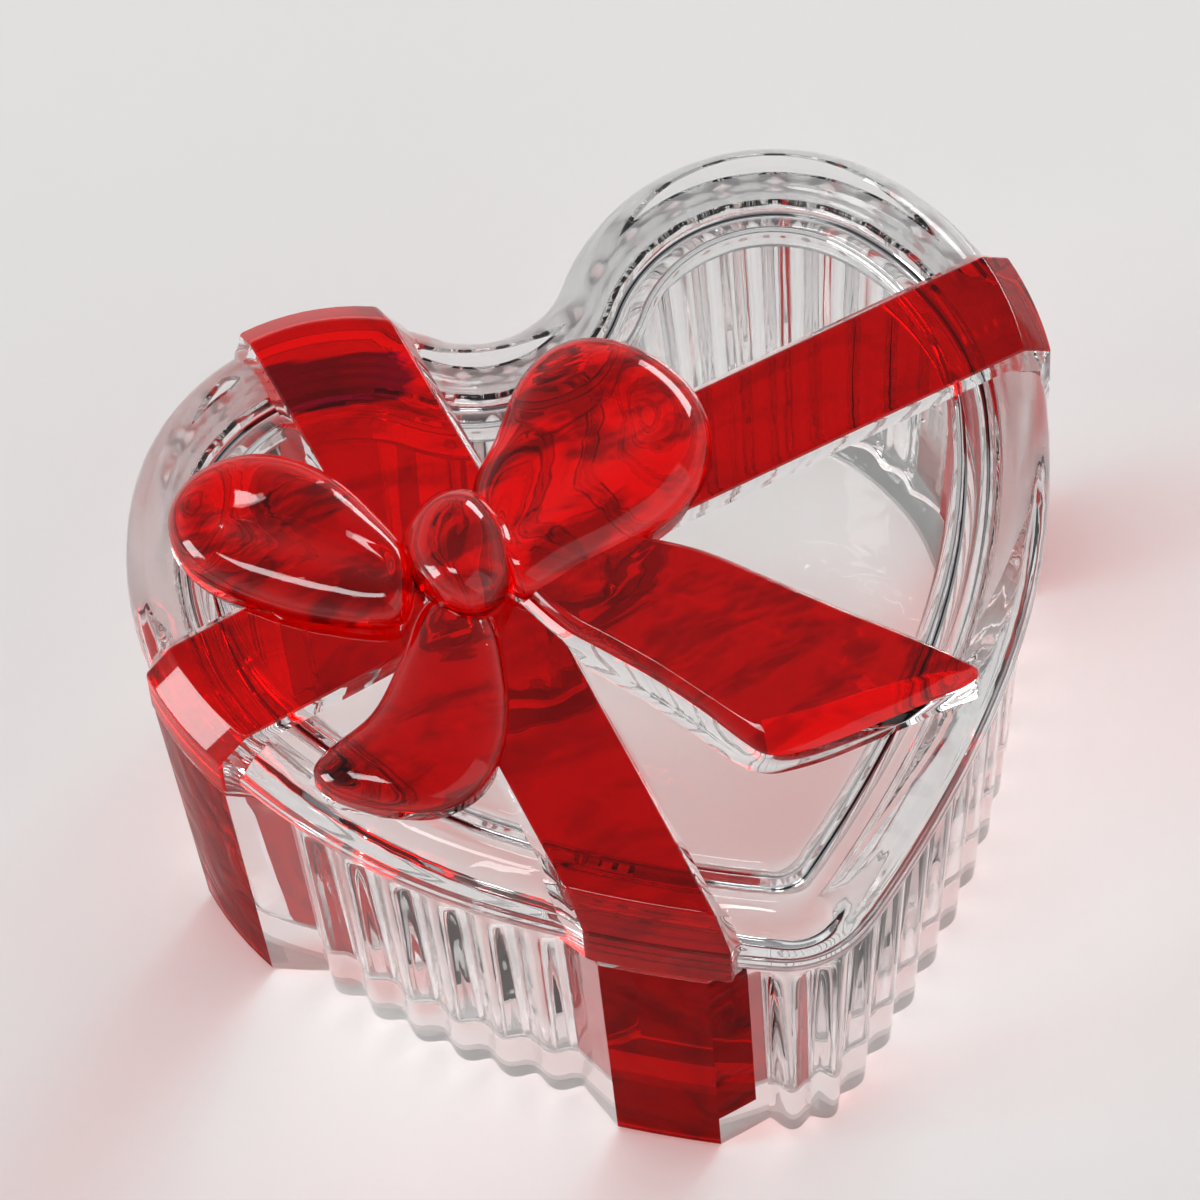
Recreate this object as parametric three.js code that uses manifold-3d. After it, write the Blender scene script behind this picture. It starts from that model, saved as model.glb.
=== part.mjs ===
// Heart-shaped candy jar in pressed glass: a fluted heart bowl and a lift-off lid
// that carries a ribbon and bow in raised, red-stained relief.
// Millimetres and degrees, +Z up. The tip of the heart points along -Y.
import * as THREE from 'three';
import { mergeVertices } from 'three/addons/utils/BufferGeometryUtils.js';
import Module from 'manifold-3d';

const wasm = await Module();
wasm.setup();

// Heart outline of the lid's edge, right half, as a chain of tangent arcs from tip to notch.
// The side and lobe radii follow from the width and from the outline closing on the centre line.
const LID_WIDTH = 124;
const TIP_RADIUS = 14;
const FLANK_RADIUS = 92;
const SHOULDER_RADIUS = 43.5;
const NOTCH_RADIUS = 12;
const TIP_TURN = 31;
const SIDE_TURN = 12;
const FLANK_TURN = 26;
const SHOULDER_TURN = 54;
const LOBE_TURN = 104;
const INNER_TIP_RADIUS = 5;

// Jar.
const JAR_HEIGHT = 62.5;
const LID_OVERHANG = 1.8;
const WALL_THICKNESS = 5.2;
const OUTER_DRAFT = 2.8;
const INNER_DRAFT = 4;
const BASE_THICKNESS = 8;
const FLOOR_FILLET = 4.5;
const BASE_RECESS = 1;
const FOOT_RING_WIDTH = 7;
const FOOT_ROUND = 1.4;
const MOUTH_ROUND = 0.8;
const MOUTH_BAND = 3;
const RIB_PITCH = 6.9;
const RIB_DEPTH = 1.5;

// Lid.
const LID_THICKNESS = 11.4;
const LID_PLATE = 7.5;
const RIM_ROUND = 4.5;
const RIM_LOWER_ROUND = 1;
const FLANGE_HEIGHT = 4;
const FLANGE_WIDTH = 3.4;
const FLANGE_ROUND = 0.8;
const FLANGE_CLEARANCE = 0.8;
const RECESS_FILLET = 2;

// Red ribbon: raised bands on the lid, and bands down the jar on clear raised pads.
const RIBBON_THICKNESS = 1.2;
const RIBBON_CHAMFER = 3.8;
const RIBBON_SIDE_DRAFT = 4;
const JAR_RIBBON_WIDTH = 14;
const PAD_HEIGHT = 1.6;
const PAD_FLANK = 6;
const RIBBON_FOOT_MARGIN = 0.5;
const RIBBON_HEAD_MARGIN = 0.6;
const ARMS = {
  right: { angle: 2.2, width: 14.6 },
  back: { angle: 93, width: 17.6 },
  left: { angle: 185, width: 16 },
  front: { angle: 271.4, width: 15 },
};

// Places on the lid, in hundredths of its width, so that the bow keeps its place on a lid of
// another size. The heart's middle is between its lobes, and its tip lies at TIP_PLACE.
const TIP_PLACE = -51.6;
const KNOT_PLACE = [-17.2, 2.9];
const LOOP_RIGHT_ROOT = [-16, -4.2];
const LOOP_LEFT_ROOT = [-22.1, -1.8];

// Bow.
const KNOT_LENGTH = 20;
const KNOT_WIDTH = 13.5;
const KNOT_ANGLE = 69;
const KNOT_HEIGHT = 9.5;
const LOOP_HEIGHT = 6.4;
const LOOP_HOLLOW = 1.3;
const LOOP_ROOT_TAPER = 0.65;
const LOOP_RIGHT = { root: LOOP_RIGHT_ROOT, angle: 34.8, length: 42, width: 28.6 };
const LOOP_LEFT = { root: LOOP_LEFT_ROOT, angle: 126, length: 37.5, width: 21.3 };
const TAIL_RIGHT = { thickness: 4, edge: 2.4, steps: 1 };
const TAIL_LEFT = { thickness: 4.8, edge: 3, steps: 4 };

// Fits.
const LID_GAP = 0.3;
const SEAT_GAP = 0.3;

const GLASS = { color: 0xf2f4f4, roughness: 0.05, metalness: 0 };
const RED_STAIN = { color: 0xc80a08, roughness: 0.08, metalness: 0 };

const radians = THREE.MathUtils.degToRad;
const SEAT_Z = JAR_HEIGHT + LID_GAP;
const LID_TOP_Z = SEAT_Z + LID_THICKNESS;
const BOW_Z = LID_TOP_Z + SEAT_GAP;
const WALL_LINE = -(LID_OVERHANG + OUTER_DRAFT / 2);
const INNER_WALL_OFFSET = -(LID_OVERHANG + WALL_THICKNESS);
const HUNDREDTH = LID_WIDTH / 100;
const KNOT_CENTER = new THREE.Vector2(...KNOT_PLACE).multiplyScalar(HUNDREDTH);

// Arcs of the right half: centre, radius (negative where the outline is hollow) and the
// headings between which the outline runs. Heading 0 runs along +X.
function heartArcs() {
  const turns = [TIP_TURN, SIDE_TURN, FLANK_TURN, SHOULDER_TURN, LOBE_TURN];
  const headings = [0];
  turns.forEach((turn) => headings.push(headings.at(-1) + turn));
  headings.push(180);
  const h = headings.map(radians);
  const s = h.map(Math.sin);
  const half = LID_WIDTH / 2;
  const fixed = TIP_RADIUS * s[1] + FLANK_RADIUS * (s[3] - s[2]) + SHOULDER_RADIUS * (1 - s[3]);
  const side = (half - fixed) / (s[2] - s[1]);
  const lobe = (half - SHOULDER_RADIUS * (1 - s[4]) + NOTCH_RADIUS * s[5]) / (s[4] - s[5]);
  const radii = [TIP_RADIUS, side, FLANK_RADIUS, SHOULDER_RADIUS, lobe, -NOTCH_RADIUS];
  const end = new THREE.Vector2(0, TIP_PLACE * HUNDREDTH);
  return radii.map((radius, i) => {
    const center = new THREE.Vector2(end.x - radius * s[i], end.y + radius * Math.cos(h[i]));
    end.set(center.x + radius * s[i + 1], center.y - radius * Math.cos(h[i + 1]));
    return { center, radius, from: h[i], to: h[i + 1] };
  });
}

const ARCS = heartArcs();
const ARC_STEPS = [4, 3, 4, 7, 12, 6];

function arcPoint(arc, heading, offset) {
  const r = arc.radius + offset;
  return new THREE.Vector2(arc.center.x + r * Math.sin(heading), arc.center.y - r * Math.cos(heading));
}

function mirrored(half) {
  const left = half.slice(1, -1).reverse().map((p) => new THREE.Vector2(-p.x, p.y));
  return [...half, ...left];
}

// Closed outline at a distance from the lid's edge. With a tip radius of its own, the tip arc
// is set again so that it still touches both sides.
function heartRing(offset, tipRadius) {
  const arcs = ARCS.map((arc) => ({ ...arc, offset }));
  if (tipRadius !== undefined) {
    const side = ARCS[1];
    const reach = side.radius + offset - tipRadius;
    const tipY = side.center.y - Math.sqrt(reach ** 2 - side.center.x ** 2);
    const joint = Math.asin(-side.center.x / reach);
    arcs[0] = { center: new THREE.Vector2(0, tipY), radius: tipRadius, offset: 0, from: 0, to: joint };
    arcs[1].from = joint;
  }
  const half = [];
  arcs.forEach((arc, i) => {
    for (let k = i === 0 ? 0 : 1; k <= ARC_STEPS[i]; k += 1) {
      const heading = arc.from + ((arc.to - arc.from) * k) / ARC_STEPS[i];
      half.push(arcPoint(arc, heading, arc.offset));
    }
  });
  half[0].x = 0;
  half[half.length - 1].x = 0;
  return mirrored(half);
}

// Lengths are measured from the tip, anticlockwise, along the middle of the jar's outer wall.
const ARC_LENGTHS = ARCS.map((arc) => Math.abs((arc.radius + WALL_LINE) * (arc.to - arc.from)));
const HALF_LENGTH = ARC_LENGTHS.reduce((a, b) => a + b, 0);

// Place at a length round the heart and at a distance from the lid's edge.
function edgePoint(length, offset) {
  const along = THREE.MathUtils.euclideanModulo(length, 2 * HALF_LENGTH);
  let rest = along > HALF_LENGTH ? 2 * HALF_LENGTH - along : along;
  let i = 0;
  while (i < ARCS.length - 1 && rest > ARC_LENGTHS[i]) {
    rest -= ARC_LENGTHS[i];
    i += 1;
  }
  const heading = ARCS[i].from + rest / (ARCS[i].radius + WALL_LINE);
  const point = arcPoint(ARCS[i], heading, offset);
  if (along > HALF_LENGTH) point.x = -point.x;
  return point;
}

function atHeight(points, z) {
  return points.map((p) => new THREE.Vector3(p.x, p.y, z));
}

// Closed body through rings of equally many points, with flat ends.
function loft(rings) {
  const count = rings[0].length;
  const position = rings.flat().flatMap((p) => [p.x, p.y, p.z]);
  const index = [];
  for (let i = 0; i < rings.length - 1; i += 1) {
    for (let k = 0; k < count; k += 1) {
      const a = i * count + k;
      const b = i * count + ((k + 1) % count);
      index.push(a, b, b + count, a, b + count, a + count);
    }
  }
  const last = (rings.length - 1) * count;
  capTriangles(rings[0]).forEach(([a, b, c]) => index.push(c, b, a));
  capTriangles(rings.at(-1)).forEach(([a, b, c]) => index.push(last + a, last + b, last + c));
  const geometry = new THREE.BufferGeometry();
  geometry.setAttribute('position', new THREE.Float32BufferAttribute(position, 3));
  geometry.setIndex(index);
  return geometry;
}

// Triangles of a flat ring, seen along the way in which it runs anticlockwise.
function capTriangles(ring) {
  const normal = new THREE.Vector3();
  ring.forEach((p, i) => normal.add(new THREE.Vector3().crossVectors(p, ring[(i + 1) % ring.length])));
  const level = new THREE.Quaternion().setFromUnitVectors(normal.normalize(), new THREE.Vector3(0, 0, 1));
  const flat = ring.map((p) => {
    const q = p.clone().applyQuaternion(level);
    return new THREE.Vector2(q.x, q.y);
  });
  return THREE.ShapeUtils.triangulateShape(flat, []);
}

function solid(geometry) {
  const bare = geometry.clone();
  bare.deleteAttribute('normal');
  bare.deleteAttribute('uv');
  const merged = mergeVertices(bare, 1e-4);
  const mesh = new wasm.Mesh({
    numProp: 3,
    vertProperties: new Float32Array(merged.attributes.position.array),
    triVerts: new Uint32Array(merged.index.array),
  });
  return new wasm.Manifold(mesh);
}

function part(name, body, finish) {
  const { vertProperties, triVerts, numProp } = body.getMesh();
  const position = [];
  for (let i = 0; i < vertProperties.length; i += numProp) {
    position.push(vertProperties[i], vertProperties[i + 1], vertProperties[i + 2]);
  }
  const geometry = new THREE.BufferGeometry();
  geometry.setAttribute('position', new THREE.Float32BufferAttribute(position, 3));
  geometry.setIndex(Array.from(triVerts));
  geometry.computeVertexNormals();
  const mesh = new THREE.Mesh(geometry, new THREE.MeshStandardMaterial(finish));
  mesh.name = name;
  return mesh;
}

// Where the middle of a ribbon arm crosses the lid's edge, as a length along the edge.
function armCrossing(arm) {
  const along = new THREE.Vector2(Math.cos(radians(arm.angle)), Math.sin(radians(arm.angle)));
  const steps = 720;
  let best = { distance: Infinity, length: 0 };
  for (let i = 0; i < steps; i += 1) {
    const length = (2 * HALF_LENGTH * i) / steps;
    const reach = edgePoint(length, 0).sub(KNOT_CENTER);
    const distance = reach.dot(along) > 0 ? Math.abs(reach.cross(along)) : Infinity;
    if (distance < best.distance) best = { distance, length };
  }
  return best.length;
}

const PADS = Object.values(ARMS)
  .map(armCrossing)
  .sort((a, b) => a - b);

// Stations round the jar's outer wall: pads that back the ribbon, and convex ribs between them.
// rise is how far a station stands out from the crests of the ribs.
function wallStations() {
  const stations = [];
  const faceSteps = 3;
  const ribSteps = 5;
  PADS.forEach((middle, i) => {
    const faceStart = middle - JAR_RIBBON_WIDTH / 2;
    for (let k = 0; k <= faceSteps; k += 1) {
      stations.push({ length: faceStart + (JAR_RIBBON_WIDTH * k) / faceSteps, rise: PAD_HEIGHT });
    }
    const next = PADS[(i + 1) % PADS.length] + (i === PADS.length - 1 ? 2 * HALF_LENGTH : 0);
    const start = middle + JAR_RIBBON_WIDTH / 2 + PAD_FLANK;
    const room = next - JAR_RIBBON_WIDTH / 2 - PAD_FLANK - start;
    const ribs = Math.round(room / RIB_PITCH);
    for (let k = 0; k <= ribs * ribSteps; k += 1) {
      const phase = ((k % ribSteps) / ribSteps) * Math.PI;
      const length = start + (room * k) / (ribs * ribSteps);
      stations.push({ length, rise: RIB_DEPTH * (Math.sin(phase) - 1) });
    }
  });
  return stations;
}

const STATIONS = wallStations();

// Outer wall at a height: ribs shrink to nothing in the plain band at the mouth.
function wallRing(z, inset, ribShare) {
  const draft = OUTER_DRAFT * (1 - z / JAR_HEIGHT);
  const ring = STATIONS.map(({ length, rise }) => {
    const share = rise < 0 ? rise * ribShare : rise;
    return edgePoint(length, -LID_OVERHANG - draft - inset + share);
  });
  return atHeight(ring, z);
}

function innerOffset(z) {
  return INNER_WALL_OFFSET - INNER_DRAFT * (1 - z / JAR_HEIGHT);
}

function jarBody() {
  const bandZ = JAR_HEIGHT - MOUTH_BAND;
  const outside = [
    wallRing(0, FOOT_ROUND, 1),
    wallRing(FOOT_ROUND * 0.3, FOOT_ROUND * 0.3, 1),
    wallRing(FOOT_ROUND, 0, 1),
    wallRing(bandZ - RIB_DEPTH, 0, 1),
    wallRing(bandZ, 0, 0),
    wallRing(JAR_HEIGHT - MOUTH_ROUND, 0, 0),
    wallRing(JAR_HEIGHT, MOUTH_ROUND * 0.6, 0),
  ];
  const inside = [];
  const filletSteps = 4;
  for (let k = 0; k <= filletSteps; k += 1) {
    const turn = (k / filletSteps) * (Math.PI / 2);
    const z = BASE_THICKNESS + FLOOR_FILLET * (1 - Math.cos(turn));
    const offset = innerOffset(z) - FLOOR_FILLET * (1 - Math.sin(turn));
    inside.push(atHeight(heartRing(offset, INNER_TIP_RADIUS), z));
  }
  [JAR_HEIGHT, JAR_HEIGHT + 1].forEach((z) => {
    inside.push(atHeight(heartRing(innerOffset(JAR_HEIGHT), INNER_TIP_RADIUS), z));
  });
  const recessOffset = -LID_OVERHANG - OUTER_DRAFT - FOOT_RING_WIDTH;
  const recess = [-1, BASE_RECESS].map((z) => atHeight(heartRing(recessOffset, INNER_TIP_RADIUS), z));
  return solid(loft(outside)).subtract(solid(loft(inside))).subtract(solid(loft(recess)));
}

// Band of red ribbon down the jar, set on its pad.
function jarRibbon(middle) {
  const inner = PAD_HEIGHT + SEAT_GAP;
  const outer = inner + RIBBON_THICKNESS;
  const low = RIBBON_FOOT_MARGIN;
  const high = JAR_HEIGHT - RIBBON_HEAD_MARGIN;
  const steps = 6;
  const corner = (length, rise, z) => {
    const p = edgePoint(length, rise - LID_OVERHANG - OUTER_DRAFT * (1 - z / JAR_HEIGHT));
    return new THREE.Vector3(p.x, p.y, z);
  };
  const rings = [];
  for (let k = 0; k <= steps; k += 1) {
    const length = middle + JAR_RIBBON_WIDTH * (k / steps - 0.5);
    rings.push([
      corner(length, inner, low),
      corner(length, outer, low),
      corner(length, outer, high),
      corner(length, inner, high),
    ].reverse());
  }
  return solid(loft(rings));
}

// Outside of the lid. With an amount to grow by, it is the space that the lid needs.
function lidShape(grow, low) {
  const rings = [];
  const roundSteps = 5;
  if (grow === 0) {
    rings.push(atHeight(heartRing(-RIM_LOWER_ROUND), low));
    rings.push(atHeight(heartRing(-RIM_LOWER_ROUND * 0.3), low + RIM_LOWER_ROUND * 0.3));
    rings.push(atHeight(heartRing(0), low + RIM_LOWER_ROUND));
  } else {
    rings.push(atHeight(heartRing(grow), low));
  }
  for (let k = 0; k <= roundSteps; k += 1) {
    const turn = (k / roundSteps) * (Math.PI / 2);
    const r = RIM_ROUND + grow;
    const z = LID_TOP_Z - RIM_ROUND + r * Math.sin(turn);
    rings.push(atHeight(heartRing(grow - r * (1 - Math.cos(turn))), z));
  }
  return solid(loft(rings));
}

function lidPlate() {
  const flangeOffset = INNER_WALL_OFFSET - FLANGE_CLEARANCE;
  const flangeLow = SEAT_Z - FLANGE_HEIGHT;
  const flange = [
    [flangeLow, flangeOffset - FLANGE_ROUND],
    [flangeLow + FLANGE_ROUND, flangeOffset],
    [SEAT_Z + 1, flangeOffset],
  ].map(([z, offset]) => atHeight(heartRing(offset, INNER_TIP_RADIUS), z));
  const recessOffset = flangeOffset - FLANGE_WIDTH;
  const recessTop = LID_TOP_Z - LID_PLATE;
  const recess = [
    [flangeLow - 1, recessOffset],
    [recessTop - RECESS_FILLET, recessOffset],
    [recessTop - RECESS_FILLET * 0.3, recessOffset - RECESS_FILLET * 0.3],
    [recessTop, recessOffset - RECESS_FILLET],
  ].map(([z, offset]) => atHeight(heartRing(offset, INNER_TIP_RADIUS), z));
  return lidShape(0, SEAT_Z).add(solid(loft(flange))).subtract(solid(loft(recess)));
}

// Bow pieces are made at a clearance: 0 for the piece, SEAT_GAP for the space it needs.
function ellipsePoint(center, angle, a, b, turn) {
  const p = new THREE.Vector2(a * Math.cos(turn), b * Math.sin(turn));
  return p.rotateAround(new THREE.Vector2(), radians(angle)).add(center);
}

// Domed relief: rings of a plan outline that shrink to its middle as the dome rises.
// plan(share) gives the outline at a share of its full size, and height(p, share) its surface.
function dome(plan, height, shares, clearance) {
  const low = BOW_Z - clearance;
  const rings = [plan(1).map((p) => new THREE.Vector3(p.x, p.y, low))];
  shares.forEach((share) => {
    rings.push(plan(share).map((p) => new THREE.Vector3(p.x, p.y, BOW_Z + clearance + height(p, share))));
  });
  return loftToPoint(rings);
}

// As loft, but the last ring closes on one point at its middle.
function loftToPoint(rings) {
  const last = rings.at(-1);
  const middle = last.reduce((sum, p) => sum.add(p), new THREE.Vector3()).divideScalar(last.length);
  const body = loft(rings.slice(0, -1));
  const count = last.length;
  const position = Array.from(body.attributes.position.array);
  const start = position.length / 3;
  last.forEach((p) => position.push(p.x, p.y, p.z));
  position.push(middle.x, middle.y, middle.z);
  const sides = (rings.length - 2) * count * 6;
  const under = Array.from(body.index.array).slice(sides, sides + (count - 2) * 3);
  const index = [...Array.from(body.index.array).slice(0, sides), ...under];
  for (let k = 0; k < count; k += 1) {
    const a = start - count + k;
    const b = start - count + ((k + 1) % count);
    const c = start + ((k + 1) % count);
    index.push(a, b, c, a, c, start + k);
    index.push(start + k, c, start + count);
  }
  const geometry = new THREE.BufferGeometry();
  geometry.setAttribute('position', new THREE.Float32BufferAttribute(position, 3));
  geometry.setIndex(index);
  return solid(geometry);
}

const DOME_SHARES = [1, 0.97, 0.9, 0.78, 0.6, 0.4, 0.2];

function domeRise(share, edge) {
  return edge + (1 - edge) * Math.sqrt(1 - share ** 3);
}

function knot(clearance) {
  const steps = 28;
  const plan = (share) => {
    const a = (KNOT_LENGTH / 2 + clearance) * share;
    const b = (KNOT_WIDTH / 2 + clearance) * share;
    return Array.from({ length: steps }, (_, k) =>
      ellipsePoint(KNOT_CENTER, KNOT_ANGLE, a, b, (2 * Math.PI * k) / steps));
  };
  return dome(plan, (p, share) => KNOT_HEIGHT * domeRise(share, 0.45), DOME_SHARES, clearance);
}

// Half breadth of a bow loop at a share of its length, as a share of the widest.
function loopBreadth(along) {
  return Math.sqrt(along * (1 - along)) * (1 - LOOP_ROOT_TAPER * (1 - along) ** 2);
}

const LOOP_SAMPLES = Array.from({ length: 101 }, (_, k) => loopBreadth(k / 100));
const LOOP_WIDEST = Math.max(...LOOP_SAMPLES);

// Bow loop: a teardrop in plan, narrow at the knot, with a full rounded rim and a hollow top.
// It is highest on a crest that runs round the hollow.
function loop({ root, angle, length, width }, clearance) {
  const steps = 36;
  const origin = new THREE.Vector2(...root).multiplyScalar(HUNDREDTH);
  const middle = 0.6 * length;
  const grow = 1 + (2 * clearance) / width;
  const plan = (share) => Array.from({ length: steps }, (_, k) => {
    const turn = (2 * Math.PI * k) / steps;
    const along = (1 - Math.cos(turn)) / 2;
    const half = (width / 2) * (loopBreadth(along) / LOOP_WIDEST);
    const forward = middle + (length * along - middle) * share * grow;
    const across = -Math.sign(Math.sin(turn)) * half * share * grow;
    return new THREE.Vector2(forward, across).rotateAround(new THREE.Vector2(), radians(angle)).add(origin);
  });
  const crest = 0.6;
  const height = (p, share) => {
    if (share < crest) return LOOP_HEIGHT - LOOP_HOLLOW * (1 - (share / crest) ** 2);
    return LOOP_HEIGHT * domeRise((share - crest) / (1 - crest), 0.4);
  };
  return dome(plan, height, DOME_SHARES, clearance);
}

// Bow tail: a thick ribbon end with a flat top, and an edge worked down all round.
function tail(outline, { thickness, edge, steps }, clearance) {
  const points = outline.getPoints(8).map((p) => p.multiplyScalar(HUNDREDTH));
  const geometry = new THREE.ExtrudeGeometry(new THREE.Shape(points), {
    depth: thickness,
    bevelThickness: edge,
    bevelSize: edge,
    bevelOffset: clearance - edge,
    bevelSegments: steps,
  });
  geometry.translate(0, 0, BOW_Z - edge + clearance);
  const reach = LID_WIDTH;
  const keep = new THREE.BoxGeometry(2 * reach, 2 * reach, 2 * thickness);
  keep.translate(0, 0, BOW_Z - clearance + thickness);
  return solid(geometry).intersect(solid(keep));
}

// Outlines of the tails, in hundredths of the lid's width.
function rightTailShape() {
  const shape = new THREE.Shape();
  shape.moveTo(-13.7, -3.2);
  shape.quadraticCurveTo(-6.9, -12.6, -3.5, -21.8);
  shape.lineTo(-1.1, -28.7);
  shape.quadraticCurveTo(0, -32.7, 3.7, -32.9);
  shape.lineTo(26, -33.5);
  shape.quadraticCurveTo(17.7, -16.5, 2.7, -3.4);
  shape.lineTo(-8.1, 4.8);
  return shape;
}

function leftTailShape() {
  const shape = new THREE.Shape();
  shape.moveTo(-22.6, 0);
  shape.bezierCurveTo(-26.6, -6.5, -32.3, -10.3, -37.9, -11.9);
  shape.bezierCurveTo(-42.3, -13.3, -41.9, -16.5, -39.1, -19);
  shape.bezierCurveTo(-34.7, -23, -29.4, -25.4, -24.6, -23);
  shape.bezierCurveTo(-19.8, -19.8, -16.9, -12.1, -16.1, -3.2);
  return shape;
}

// Lid ribbon arm from the knot over the rim: flat on top, a chamfer at the rim, drafted sides.
function lidRibbon({ angle, width }, bowSpaces) {
  const low = SEAT_Z + RIM_LOWER_ROUND * 0.5;
  const proud = SEAT_GAP + RIBBON_THICKNESS;
  const top = LID_TOP_Z + proud;
  const outside = [
    [low, proud],
    [top - RIBBON_CHAMFER, proud],
    [top, proud - RIBBON_CHAMFER],
  ].map(([z, offset]) => atHeight(heartRing(offset), z));
  const strip = [low - 1, top + 1].map((z) => {
    const half = width / 2 + (top - z) * Math.tan(radians(RIBBON_SIDE_DRAFT));
    const corners = [[0, -half], [LID_WIDTH, -half], [LID_WIDTH, half], [0, half]];
    const turned = corners.map(([x, y]) =>
      new THREE.Vector2(x, y).rotateAround(new THREE.Vector2(), radians(angle)).add(KNOT_CENTER));
    return atHeight(turned, z);
  });
  const arm = solid(loft(outside)).intersect(solid(loft(strip))).subtract(lidShape(SEAT_GAP, low - 1));
  return bowSpaces.reduce((body, space) => body.subtract(space), arm);
}

// The largest of the separate bodies that a cut leaves.
function largest(body) {
  return body.decompose().reduce((a, b) => (b.volume() > a.volume() ? b : a));
}

const knotSpace = knot(SEAT_GAP);
const rightLoopSpace = loop(LOOP_RIGHT, SEAT_GAP);
const leftLoopSpace = loop(LOOP_LEFT, SEAT_GAP);
const rightTailSpace = tail(rightTailShape(), TAIL_RIGHT, SEAT_GAP);
const leftTailSpace = tail(leftTailShape(), TAIL_LEFT, SEAT_GAP);
const bowSpaces = [knotSpace, rightLoopSpace, leftLoopSpace, rightTailSpace, leftTailSpace];

const jar = new THREE.Group();
jar.add(part('jar_body', jarBody(), GLASS));
Object.entries(ARMS).forEach(([side, arm]) => {
  jar.add(part(`jar_ribbon_${side}`, jarRibbon(armCrossing(arm)), RED_STAIN));
});

const lid = new THREE.Group();
lid.add(part('lid_plate', lidPlate(), GLASS));
Object.entries(ARMS).forEach(([side, arm]) => {
  lid.add(part(`lid_ribbon_${side}`, largest(lidRibbon(arm, bowSpaces)), RED_STAIN));
});
const loopRight = loop(LOOP_RIGHT, 0).subtract(knotSpace);
const loopLeft = loop(LOOP_LEFT, 0).subtract(knotSpace).subtract(rightLoopSpace);
const tailRight = tail(rightTailShape(), TAIL_RIGHT, 0).subtract(knotSpace).subtract(rightLoopSpace);
const tailLeft = [knotSpace, leftLoopSpace, rightLoopSpace]
  .reduce((body, space) => body.subtract(space), tail(leftTailShape(), TAIL_LEFT, 0));
lid.add(part('bow_knot', knot(0), RED_STAIN));
lid.add(part('bow_loop_right', largest(loopRight), RED_STAIN));
lid.add(part('bow_loop_left', largest(loopLeft), RED_STAIN));
lid.add(part('bow_tail_right', largest(tailRight), RED_STAIN));
lid.add(part('bow_tail_left', largest(tailLeft), RED_STAIN));

// The origin lies under the middle of the whole box, on the surface that it stands on.
const box = new THREE.Group();
box.add(jar, lid);
const bounds = new THREE.Box3().setFromObject(box);
const middle = bounds.getCenter(new THREE.Vector3());
box.position.set(-middle.x, -middle.y, -bounds.min.z);

export default box;
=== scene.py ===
import math

import bmesh
import bpy
from mathutils import Matrix, Vector


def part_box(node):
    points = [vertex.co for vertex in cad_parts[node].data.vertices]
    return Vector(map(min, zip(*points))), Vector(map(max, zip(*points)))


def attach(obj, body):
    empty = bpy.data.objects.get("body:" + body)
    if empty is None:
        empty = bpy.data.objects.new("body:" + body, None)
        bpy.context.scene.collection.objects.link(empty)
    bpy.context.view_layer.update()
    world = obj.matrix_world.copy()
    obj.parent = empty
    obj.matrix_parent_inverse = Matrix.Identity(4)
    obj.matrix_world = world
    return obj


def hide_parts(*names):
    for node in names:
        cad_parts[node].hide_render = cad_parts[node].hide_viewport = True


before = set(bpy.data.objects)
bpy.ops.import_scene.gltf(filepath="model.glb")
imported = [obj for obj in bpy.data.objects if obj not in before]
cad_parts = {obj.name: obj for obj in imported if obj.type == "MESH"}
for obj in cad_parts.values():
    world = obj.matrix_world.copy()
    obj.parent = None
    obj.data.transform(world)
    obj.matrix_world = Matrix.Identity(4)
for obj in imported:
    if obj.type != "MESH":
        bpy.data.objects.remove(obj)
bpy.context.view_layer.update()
scene = bpy.context.scene
scene.view_settings.view_transform = "Standard"

# Camera. A long lens looks steeply down on the lid from the front left,
# tipped a little so that the heart leans the way it does on the table.
view_azimuth = math.radians(-20.74)
view_elevation = math.radians(64.01)
view_roll = math.radians(-4.56)
back = Vector((
    math.sin(view_azimuth) * math.cos(view_elevation),
    -math.cos(view_azimuth) * math.cos(view_elevation),
    math.sin(view_elevation),
))
level_right = Vector((math.cos(view_azimuth), math.sin(view_azimuth), 0))
level_up = back.cross(level_right)
camera_right = math.cos(view_roll) * level_right + math.sin(view_roll) * level_up
camera_up = -math.sin(view_roll) * level_right + math.cos(view_roll) * level_up
aim = Vector((0.00622, 0.03284, 0))
view_distance = 1.17775
camera_data = bpy.data.cameras.new("camera")
camera_data.lens = 255
camera_data.sensor_width = 36
camera_data.clip_end = 20
camera = bpy.data.objects.new("camera", camera_data)
turn = Matrix((camera_right, camera_up, back)).transposed().to_4x4()
camera.matrix_world = Matrix.Translation(aim + back * view_distance) @ turn
scene.collection.objects.link(camera)
scene.camera = camera


# Studio. A plain sheet of pale paper that curves up all round, under four soft lamps:
# a window on each side, one in the roof, and a broad weak one in front.
class Value:
    """A number in a shader, with sums on it written as Python sums."""

    def __init__(self, socket):
        self.socket = socket

    def math_node(self, operation, first, second):
        tree = self.socket.id_data
        made = add_node(tree, "ShaderNodeMath", {"operation": operation}, {0: first, 1: second})
        return Value(made.outputs[0])

    def __add__(self, other):
        return self.math_node("ADD", self, other)

    def __radd__(self, other):
        return self.math_node("ADD", other, self)

    def __mul__(self, other):
        return self.math_node("MULTIPLY", self, other)

    def __rmul__(self, other):
        return self.math_node("MULTIPLY", other, self)


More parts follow.
